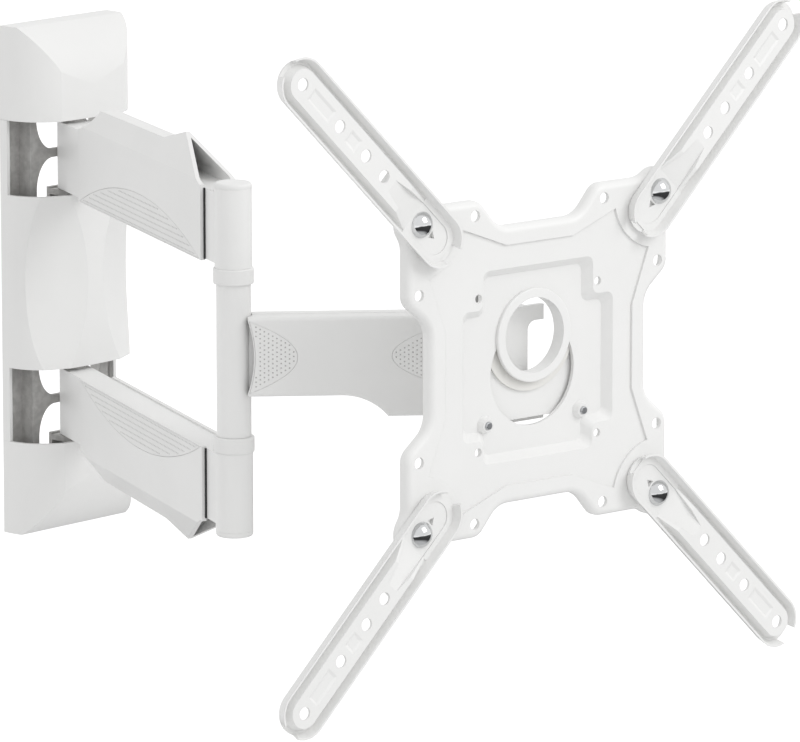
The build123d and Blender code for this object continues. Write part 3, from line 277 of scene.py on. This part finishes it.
def add_piece(name: str, mesh: bmesh.types.BMesh, finish: Finish, body: str) -> bpy.types.Object:
    """Turn a finished bmesh into a smooth piece that rides on a body.

    Args:
        name: Name of the piece.
        mesh: Its geometry, which is freed here.
        finish: Its finish.
        body: CAD body that carries it.

    Returns:
        The new object.
    """
    bmesh.ops.recalc_face_normals(mesh, faces=mesh.faces)
    data = bpy.data.meshes.new(name)
    mesh.to_mesh(data)
    mesh.free()
    for polygon in data.polygons:
        polygon.use_smooth = True
    data.materials.append(finish.value.material())
    piece = bpy.data.objects.new(name, data)
    bpy.context.scene.collection.objects.link(piece)
    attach(piece, body)
    LOG.info("%s: %s on %s", name, finish.value.title, body)
    return piece


def skin_loops(mesh: bmesh.types.BMesh, loops: list[list[bmesh.types.BMVert]]) -> None:
    """Join loops of equal length into a closed form.

    Args:
        mesh: Geometry to add to.
        loops: The loops in order, the first and last of which get a face.
    """
    for low, high in zip(loops, loops[1:]):
        for i in range(len(low)):
            j = (i + 1) % len(low)
            mesh.faces.new((low[i], low[j], high[j], high[i]))
    mesh.faces.new(loops[0])
    mesh.faces.new(loops[-1])


@dataclass
class Grip:
    """Field of round dimples on the flat outer face of a grip inset, drawn as low lips in painted dimple
    shade.

    Attributes:
        node: CAD node of the inset.
        body: Body that carries it.
        rise: Direction across the rows of dimples.
        run: Direction along the rows.
        faces: Outward normals of the insets in the node.
        step_rise: Distance between rows of dimples.
        step_run: Distance between dimples in a row.
        radius: Radius of a dimple.
        height: How far a dimple's lip stands out of the inset.
        margin: Bare border inside the outline.
        lift: Height above the face from which the inset is looked for.
        segments: Sides of a dimple.
        shoulder: Height of its straight side as a share of the lip's.
        crown: Radius of its top as a share of the dimple's.
    """

    node: str
    body: str
    rise: Vector
    run: Vector
    faces: tuple[Vector, ...]
    step_rise: float
    step_run: float
    radius: float = 0.55 * MM
    height: float = 0.12 * MM
    margin: float = 1.5 * MM
    lift: float = 0.2 * MM
    segments: int = 8
    shoulder: float = 0.2
    crown: float = 0.6

    def build(self, nodes: dict[str, bpy.types.Object]) -> None:
        """Build all dimples of the node as one piece.

        Args:
            nodes: CAD objects by node name.
        """
        data = nodes[self.node].data
        corners = [v.co.copy() for v in data.vertices]
        inset = BVHTree.FromPolygons(corners, [tuple(p.vertices) for p in data.polygons])
        mesh = bmesh.new()
        for face in self.faces:
            for centre in self.grid(corners, face):
                if self.carried(inset, centre, face):
                    self.dimple(mesh, centre, face)
        # The dimples' grey is painted shade standing in for the hollows of real dimples.
        add_piece(self.node + "_painted_dimples", mesh, Finish.GRIP_DIMPLE_SHADE, self.body)

    def grid(self, corners: list[Vector], face: Vector) -> Iterator[Vector]:
        """Staggered grid of points over the node's box, level with its outer face.

        Args:
            corners: Vertices of the node.
            face: Outward normal of one inset.

        Yields:
            The points, row by row.
        """
        rises = [c.dot(self.rise) for c in corners]
        runs = [c.dot(self.run) for c in corners]
        out = max(c.dot(face) for c in corners)
        rows = int((max(rises) - min(rises)) / self.step_rise) + 1
        columns = int((max(runs) - min(runs)) / self.step_run) + 2
        for row in range(rows):
            height = min(rises) + self.margin + row * self.step_rise
            for column in range(columns):
                across = min(runs) + (column - 0.5 * (row % 2)) * self.step_run
                yield self.rise * height + self.run * across + face * out

    def carried(self, inset: BVHTree, centre: Vector, face: Vector) -> bool:
        """Tell whether the inset's face lies under a point and the border round it.

        Args:
            inset: The node's faces.
            centre: Point level with the outer face.
            face: Outward normal.

        Returns:
            True where a whole dimple with its border fits.
        """
        border = [self.rise, -self.rise, self.run, -self.run, Vector()]
        starts = [centre + step * self.margin + face * self.lift for step in border]
        return all(inset.ray_cast(start, -face, 2 * self.lift)[0] is not None for start in starts)

    def dimple(self, mesh: bmesh.types.BMesh, centre: Vector, face: Vector) -> None:
        """Add one low round lip, closed behind, coloured with the painted dimple shade.

        Args:
            mesh: Geometry to add to.
            centre: Its middle on the inset's face.
            face: Outward normal.
        """
        rings = []
        steps = ((1.0, -1.0), (1.0, self.shoulder), (self.crown, 1.0))
        for scale, share in steps:
            level = share * self.height
            ring = []
            for i in range(self.segments):
                turn = math.tau * i / self.segments
                offset = self.rise * math.cos(turn) + self.run * math.sin(turn)
                ring.append(mesh.verts.new(centre + offset * self.radius * scale + face * level))
            rings.append(ring)
        skin_loops(mesh, rings)


def hexagon(points: int = 24) -> tuple[tuple[float, float], ...]:
    """Outline of a hexagon whose corners have unit reach.

    Args:
        points: Number of points, a multiple of six.

    Returns:
        The points in order.
    """
    half_side = math.pi / 6
    outline = []
    for k in range(points):
        turn = math.tau * k / points
        within = math.tau * (k % (points // 6)) / points
        reach = math.cos(half_side) / math.cos(within - half_side)
        outline.append((math.cos(turn) * reach, math.sin(turn) * reach))
    return tuple(outline)


def cross(half_width: float = 0.24, mid: float = 0.62) -> tuple[tuple[float, float], ...]:
    """Outline of a cross whose four arms have unit reach.

    Args:
        half_width: Half of an arm's width.
        mid: Reach of the points halfway along an arm's sides.

    Returns:
        The points in order.
    """
    w = half_width
    arm = ((1.0, -w), (1.0, 0.0), (1.0, w), (mid, w), (w, w), (w, mid))
    quarters = ((1, 0), (0, 1), (-1, 0), (0, -1))
    return tuple((x * c - y * s, x * s + y * c) for c, s in quarters for x, y in arm)


class Drive(Enum):
    """Recess that a driver turns a screw by, as an outline of unit reach."""

    HEX = hexagon()
    CROSS = cross()


@dataclass
class DrivenScrews:
    """Screws of one CAD node, turned anew with a broken edge and a drive recess in each head.

    Attributes:
        node: CAD node that the screws stand in for.
        body: Body that carries them.
        axis: Direction of the screws, either way round.
        drive: Recess in the heads.
        reach: Reach of the recess as a share of the head's radius.
        edge: Width of the broken edges.
        merge: Distance below which the CAD mesh's corners are one.
        rim_share: Share of the head's radius beyond which a corner lies on its rim.
        depth_share: Depth of the recess as a share of the head's height.
        taper: Reach of the recess's bottom as a share of its mouth's.
    """

    node: str
    body: str
    axis: Vector
    drive: Drive
    reach: float = 0.55
    edge: float = 0.4 * MM
    merge: float = 0.001 * MM
    rim_share: float = 0.95
    depth_share: float = 0.6
    taper: float = 0.9

    def build(self, nodes: dict[str, bpy.types.Object]) -> None:
        """Build all screws of the node as one piece.

        Args:
            nodes: CAD objects by node name.
        """
        source = bmesh.new()
        source.from_mesh(nodes[self.node].data)
        bmesh.ops.remove_doubles(source, verts=source.verts, dist=self.merge)
        mesh = bmesh.new()
        left = set(source.verts)
        while left:
            front = [left.pop()]
            points = []
            while front:
                corner = front.pop()
                points.append(corner.co.copy())
                near = {edge.other_vert(corner) for edge in corner.link_edges} & left
                left -= near
                front.extend(near)
            self.screw(mesh, points)
        source.free()
        piece = add_piece(self.node + "_driven", mesh, Finish.ZINC, self.body)
        piece.data.set_sharp_from_angle(angle=SHARP_ANGLE)
        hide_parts(self.node)

    def screw(self, mesh: bmesh.types.BMesh, points: list[Vector]) -> None:
        """Turn one screw between the ends of a CAD screw.

        Args:
            mesh: Geometry to add to.
            points: Vertices of the CAD screw.
        """
        side = self.axis.orthogonal().normalized()
        other = self.axis.cross(side)
        spans = [[p.dot(way) for p in points] for way in (side, other)]
        centre = sum(((max(s) + min(s)) / 2 * way for s, way in zip(spans, (side, other))), Vector())
        radii = [((p - centre) - self.axis * p.dot(self.axis)).length for p in points]
        widest = max(radii)
        rim = [p.dot(self.axis) for p, r in zip(points, radii) if r > self.rim_share * widest]
        ends = [p.dot(self.axis) for p in points]
        up = 1.0 if max(ends) - max(rim) < min(rim) - min(ends) else -1.0
        top = max(up * a for a in ends)
        tail = min(up * a for a in ends)
        seat = min(up * a for a in rim)
        shank = max(r for r, a in zip(radii, ends) if up * a < seat - self.edge)
        depth = self.depth_share * (top - seat)
        profile = [(shank - self.edge, tail), (shank, tail + self.edge), (shank, seat), (widest, seat)]
        profile += [(widest, top - self.edge), (widest - self.edge, top)]
        outline = [Vector(p) for p in self.drive.value]
        turns = [p.normalized() for p in outline]
        rings = [([t * r for t in turns], level) for r, level in profile]
        recess = [p * self.reach * widest for p in outline]
        rings += [(recess, top), ([p * self.taper for p in recess], top - depth)]
        loops = []
        for ring, level in rings:
            base = centre + self.axis * up * level
            loops.append([mesh.verts.new(base + side * p.x + other * p.y) for p in ring])
        skin_loops(mesh, loops)


@dataclass
class WallUnit:
    """Steel wall plate, its three covers and the bolts that the arms turn on.

    Attributes:
        nodes: CAD objects by node name.
        body: Body that carries the pieces.
        covers: Nodes of the covers.
    """

    nodes: dict[str, bpy.types.Object]
    body: str = "wall"
    covers: tuple[str, ...] = ("wall_cover_top", "wall_cover_middle", "wall_cover_bottom")

    def dress(self) -> None:
        """Finish the plate, covers and nuts."""
        # The plate's dark grey is partly painted shade for where it shows deep in the covers' windows.
        dress(self.nodes, ("wall_plate",), Finish.GALVANISED_AND_SHADE)
        dress(self.nodes, self.covers, Finish.MOULDED_ABS)
        dress(self.nodes, ("wall_pivot_nuts",), Finish.ZINC)

    def build(self) -> None:
        """Turn the pivot bolts with a hexagon socket."""
        DrivenScrews("wall_pivot_bolts", self.body, UP, Drive.HEX).build(self.nodes)


@dataclass
class RearArms:
    """Upper and lower arm between the wall and the elbow.

    Attributes:
        nodes: CAD objects by node name.
        along: Level direction from the wall to the elbow.
        body: Body that carries the pieces.
        row_step: Distance between rows of dimples.
        dot_step: Distance between dimples in a row.
        shade_strip_size: Side of the square section of a strip of painted shade.
        shade_strip_gap: Gap between a painted shade strip and what it lies against.
    """

    nodes: dict[str, bpy.types.Object]
    along: Vector
    body: str = "rear_arms"
    row_step: float = 3.6 * MM
    dot_step: float = 2.6 * MM
    shade_strip_size: float = 1.1 * MM
    shade_strip_gap: float = 0.05 * MM

    def dress(self) -> None:
        """Finish both arms and the elbow's outer rings."""
        for level in ("upper_", "lower_"):
            dress(self.nodes, (level + "arm_beam", level + "elbow_sleeve"), Finish.POWDER_COAT)
            covers = (level + "arm_cover", level + "elbow_collar", level + "elbow_cap")
            dress(self.nodes, covers, Finish.MOULDED_ABS)
            dress(self.nodes, (level + "arm_inlays",), Finish.GRIP_ABS)
            dress(self.nodes, (level + "arm_wall_bushes",), Finish.NYLON)
        dress(self.nodes, ("elbow_shaft",), Finish.ZINC)

    def build(self) -> None:
        """Put the rows of dimples on the four insets and the strips of painted shade beside each beam."""
        side = UP.cross(self.along)
        for level, rise in (("upper_", UP), ("lower_", -UP)):
            faces = (side, -side)
            inlays = level + "arm_inlays"
            Grip(inlays, self.body, rise, self.along, faces, self.row_step, self.dot_step).build(self.nodes)
            self.shade_strips(level, side)

    def shade_strips(self, level: str, side: Vector) -> None:
        """Put a black square strip on each side of the beam, against the mouth of its cover, as painted
        shadow in the gap there.

        Args:
            level: First word of the arm's node names.
            side: Level direction across the arm.
        """
        beam = [v.co for v in self.nodes[level + "arm_beam"].data.vertices]
        cover = [v.co for v in self.nodes[level + "arm_cover"].data.vertices]
        mouth = max(c.dot(self.along) for c in cover) + self.shade_strip_gap
        low, high = min(c.z for c in beam), max(c.z for c in beam)
        across = [c.dot(side) for c in beam]
        mesh = bmesh.new()
        for flank, out in ((max(across), 1.0), (min(across), -1.0)):
            near = flank + out * self.shade_strip_gap
            far = near + out * self.shade_strip_size
            loops = []
            for z in (low, high):
                corners = ((near, 0.0), (far, 0.0), (far, self.shade_strip_size), (near, self.shade_strip_size))
                loops.append([
                    mesh.verts.new(self.along * (mouth + step) + side * x + UP * z) for x, step in corners
                ])
            skin_loops(mesh, loops)
        # The black strips are painted shadow for the gap at the cover's mouth.
        piece = add_piece(level + "arm_shade_strips", mesh, Finish.SHADE_STRIP, self.body)
        piece.data.set_sharp_from_angle(angle=SHARP_ANGLE)


@dataclass
class Forearm:
    """Forearm between the elbow and the head, in its two-part casing.

    Attributes:
        nodes: CAD objects by node name.
        along: Level direction from the elbow to the head.
        body: Body that carries the pieces.
        row_step: Distance between rows of dimples.
        dot_step: Distance between dimples in a row.
    """

    nodes: dict[str, bpy.types.Object]
    along: Vector
    body: str = "forearm"
    row_step: float = 2.7 * MM
    dot_step: float = 3.0 * MM

    def dress(self) -> None:
        """Finish the beam, casing, pads and bushes."""
        dress(self.nodes, ("elbow_tube", "forearm_beam", "head_barrel"), Finish.POWDER_COAT)
        dress(self.nodes, ("forearm_front_cover", "forearm_rear_cover"), Finish.MOULDED_ABS)
        dress(self.nodes, ("forearm_near_pad", "forearm_far_pad"), Finish.GRIP_ABS)
        dress(self.nodes, ("elbow_bushes", "head_bushes"), Finish.NYLON)

    def build(self) -> None:
        """Put the dimples on the two pads and turn the screws of the casing."""
        face = self.along.cross(UP)
        DrivenScrews("forearm_cover_screws", self.body, face, Drive.CROSS).build(self.nodes)
        for node, rise in (("forearm_near_pad", self.along), ("forearm_far_pad", -self.along)):
            Grip(node, self.body, rise, UP, (face,), self.row_step, self.dot_step).build(self.nodes)


@dataclass
class Head:
    """Swivel and tilt brackets, the roll hub and their fasteners.

    Attributes:
        nodes: CAD objects by node name.
        level: Direction of the tilt axis.
        body: Body that carries the bolts.
    """

    nodes: dict[str, bpy.types.Object]
    level: Vector
    body: str = "swivel"

    def dress(self) -> None:
        """Finish the brackets, washers and nuts."""
        dress(self.nodes, ("swivel_bracket", "tilt_bracket", "roll_hub"), Finish.POWDER_COAT)
        dress(self.nodes, ("tilt_washers", "roll_washer"), Finish.NYLON)
        dress(self.nodes, ("swivel_nut", "tilt_nuts"), Finish.ZINC)

    def build(self) -> None:
        """Turn the swivel bolt and the two tilt bolts."""
        DrivenScrews("swivel_bolt", self.body, UP, Drive.HEX).build(self.nodes)
        DrivenScrews("tilt_bolts", self.body, self.level, Drive.HEX).build(self.nodes)


@dataclass
class ScreenPlate:
    """Stamped plate that carries the screen, with its four extension arms.

    Attributes:
        nodes: CAD objects by node name.
        level: Direction of the tilt axis.
        body: Body that carries the screws.
    """

    nodes: dict[str, bpy.types.Object]
    level: Vector
    body: str = "plate"

    def dress(self) -> None:
        """Finish the plate, the arms and their screws."""
        arms = [name for name in self.nodes if name.startswith("reach_arm_")]
        dress(self.nodes, ("screen_plate", *sorted(arms)), Finish.POWDER_COAT)
        dress(self.nodes, ("arm_screws",), Finish.CHROME)
        dress(self.nodes, ("arm_screw_nuts",), Finish.ZINC)

    def build(self) -> None:
        """Turn the two screws that lock the roll."""
        DrivenScrews("roll_lock_screws", self.body, UP.cross(self.level), Drive.CROSS).build(self.nodes)


@dataclass
class Studio:
    """White studio: soft world light, a large lamp, a pale floor and the camera.

    Attributes:
        azimuth: Camera's turn about the mount, in degrees.
        elevation: Camera's height above the horizon, in degrees.
        distance: Camera's distance from the point that it looks at.
        aim: That point, in the frame of the wall.
        lens: Focal length in millimetres.
        sensor: Width of the camera's sensor in millimetres.
        far: Distance beyond which the camera sees nothing.
        ambient: Level of the world's light on the mount.
        floor_drop: Height of the floor from the wall plate's middle, negative below it.
        floor_size: Side of the floor.
        floor_colour: Colour of the floor, sRGB hex.
        floor_gloss: Roughness of the floor.
        floor_glow: Light that the floor adds where it is seen.
        card_size: Side of the dark card.
        card_offset: Place of the card from the point that the camera looks at.
        card_tones: Positions and colours of the card, from its border to the spot below the mount.
        lamp_offset: Place of the lamp towards the camera, to its right and upwards.
        lamp_size: Side of the lamp.
        lamp_power: Its power in watts.
    """

    azimuth: float = -46.73
    elevation: float = 11.22
    distance: float = 4.495
    aim: Vector = field(default_factory=lambda: Vector((-0.1381, -0.4562, 0.0115)))
    lens: float = 320.3
    sensor: float = 36.0
    far: float = 100.0
    ambient: float = 0.9
    floor_drop: float = -1.0
    floor_size: float = 60.0
    floor_colour: str = "#F0F0F0"
    floor_gloss: float = 0.9
    floor_glow: float = 0.4
    card_size: float = 7.0
    card_offset: Vector = field(default_factory=lambda: Vector((1.2, -1.9, -0.75)))
    card_tones: tuple[tuple[float, str], ...] = ((0.05, "#2C2C2D"), (0.5, "#C8C8C9"))
    lamp_offset: tuple[float, float, float] = (1.0, 2.2, 1.4)
    lamp_size: float = 1.6
    lamp_power: float = 25.0

    def back(self) -> Vector:
        """Direction from the mount to the camera.

        Returns:
            A unit vector.
        """
        turn, rise = math.radians(self.azimuth), math.radians(self.elevation)
        return Vector((math.sin(turn) * math.cos(rise), -math.cos(turn) * math.cos(rise), math.sin(rise)))

    def camera(self) -> None:
        """Set up the camera."""
        data = bpy.data.cameras.new("camera")
        data.lens = self.lens
        data.sensor_width = self.sensor
        data.clip_end = self.far
        camera = bpy.data.objects.new("camera", data)
        camera.location = self.aim + self.back() * self.distance
        camera.rotation_euler = (-self.back()).to_track_quat("-Z", "Y").to_euler()
        bpy.context.scene.collection.objects.link(camera)
        bpy.context.scene.camera = camera

    def lamp(self) -> None:
        """Set up the square soft lamp, which points at the mount."""
        turn = math.radians(self.azimuth)
        right = Vector((math.cos(turn), math.sin(turn), 0.0))
        near, across, up = self.lamp_offset
        offset = self.back() * near + right * across + UP * up
        data = bpy.data.lights.new("right_softbox", "AREA")
        data.size = self.lamp_size
        data.energy = self.lamp_power
        lamp = bpy.data.objects.new("right_softbox", data)
        lamp.location = self.aim + offset
        lamp.rotation_euler = (-offset).to_track_quat("-Z", "Y").to_euler()
        bpy.context.scene.collection.objects.link(lamp)

    def seen_directly(self, tree: bpy.types.NodeTree) -> bpy.types.NodeSocket:
        """One for camera, glossy and transmission rays, zero for light that falls on the mount.

        Args:
            tree: Node tree to add to.

        Returns:
            The socket with that value.
        """
        path = add_node(tree, "ShaderNodeLightPath", {}, {})
        first = add_node(
            tree, "ShaderNodeMath", {"operation": "MAXIMUM"},
            {0: path.outputs["Is Camera Ray"], 1: path.outputs["Is Glossy Ray"]},
        )
        both = add_node(
            tree, "ShaderNodeMath", {"operation": "MAXIMUM"},
            {0: first.outputs["Value"], 1: path.outputs["Is Transmission Ray"]},
        )
        return both.outputs["Value"]

    def world(self) -> None:
        """White where it is seen, a plain level where it lights the mount."""
        world = bpy.data.worlds.new("studio")
        world.use_nodes = True
        tree = world.node_tree
        seen = self.seen_directly(tree)
        level = add_node(
            tree, "ShaderNodeMapRange", {"To Min": self.ambient, "To Max": 1.0}, {"Value": seen},
        )
        tree.links.new(level.outputs["Result"], tree.nodes["Background"].inputs["Strength"])
        tree.nodes["Background"].inputs["Color"].default_value = WHITE
        bpy.context.scene.world = world

    def floor(self) -> None:
        """Pale floor well below the mount, which hangs on a wall."""
        mesh = bmesh.new()
        bmesh.ops.create_grid(mesh, x_segments=4, y_segments=4, size=self.floor_size / 2)
        data = bpy.data.meshes.new("floor")
        mesh.to_mesh(data)
        mesh.free()
        floor = bpy.data.objects.new("floor", data)
        floor.location = (0.0, 0.0, self.floor_drop)
        material = bpy.data.materials.new("Matt white floor paint")
        material.use_nodes = True
        tree = material.node_tree
        shader = tree.nodes["Principled BSDF"]
        shader.inputs["Base Color"].default_value = linear(self.floor_colour)
        shader.inputs["Roughness"].default_value = self.floor_gloss
        seen = self.seen_directly(tree)
        glow = add_node(
            tree, "ShaderNodeMapRange", {"To Min": 0.0, "To Max": self.floor_glow}, {"Value": seen},
        )
        shader.inputs["Emission Color"].default_value = WHITE
        tree.links.new(glow.outputs["Result"], shader.inputs["Emission Strength"])
        data.materials.append(material)
        bpy.context.scene.collection.objects.link(floor)

    def card(self) -> None:
        """Dark card low in front of the mount, which only mirrors see."""
        mesh = bmesh.new()
        bmesh.ops.create_grid(mesh, x_segments=1, y_segments=1, size=self.card_size / 2)
        data = bpy.data.meshes.new("dark_card")
        mesh.to_mesh(data)
        mesh.free()
        material = bpy.data.materials.new("Black felt card")
        material.use_nodes = True
        tree = material.node_tree
        shader = tree.nodes["Principled BSDF"]
        shader.inputs["Roughness"].default_value = 1.0
        place = add_node(tree, "ShaderNodeTexCoord", {}, {})
        below = add_node(
            tree, "ShaderNodeMapping", {"Location": (self.card_offset.x, self.card_offset.y, 0.0)},
            {"Vector": place.outputs["Object"]},
        )
        spread = add_node(
            tree, "ShaderNodeTexGradient", {"gradient_type": "SPHERICAL"},
            {"Vector": below.outputs["Vector"]},
        )
        tone = add_node(tree, "ShaderNodeValToRGB", {}, {"Fac": spread.outputs["Fac"]})
        set_ramp(tone, self.card_tones)
        tree.links.new(tone.outputs["Color"], shader.inputs["Base Color"])
        data.materials.append(material)
        card = bpy.data.objects.new("dark_card", data)
        card.location = self.aim + self.card_offset
        card.visible_camera = False
        card.visible_diffuse = False
        card.visible_shadow = False
        bpy.context.scene.collection.objects.link(card)

    def build(self) -> None:
        """Build the whole studio."""
        self.camera()
        self.world()
        self.floor()
        self.card()
        self.lamp()
        bpy.context.scene.view_settings.view_transform = "Standard"


def heading(joints: dict[str, dict[str, Any]], start: str, end: str) -> Vector:
    """Level direction from one joint to another.

    Args:
        joints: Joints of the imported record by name.
        start: Joint that it starts at.
        end: Joint that it points to.

    Returns:
        A unit vector.
    """
    step = Vector(joints[end]["pos_m"]) - Vector(joints[start]["pos_m"])
    step.z = 0.0
    return step.normalized()


def main() -> None:
    """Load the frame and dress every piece."""
    logging.basicConfig(level=logging.INFO, format="%(message)s")
    for piece in list(bpy.data.objects):
        bpy.data.objects.remove(piece)
    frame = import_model()
    nodes = frame["nodes"]
    joints = {joint["name"]: joint for joint in frame["joints"]}
    Studio().build()
    level = Vector(joints["tilt"]["axis"])
    wall = WallUnit(nodes)
    wall.dress()
    wall.build()
    rear_arms = RearArms(nodes, heading(joints, "shoulder", "elbow"))
    rear_arms.dress()
    rear_arms.build()
    forearm = Forearm(nodes, heading(joints, "elbow", "swivel"))
    forearm.dress()
    forearm.build()
    head = Head(nodes, level)
    head.dress()
    head.build()
    plate = ScreenPlate(nodes, level)
    plate.dress()
    plate.build()


if __name__ == "__main__":
    main()
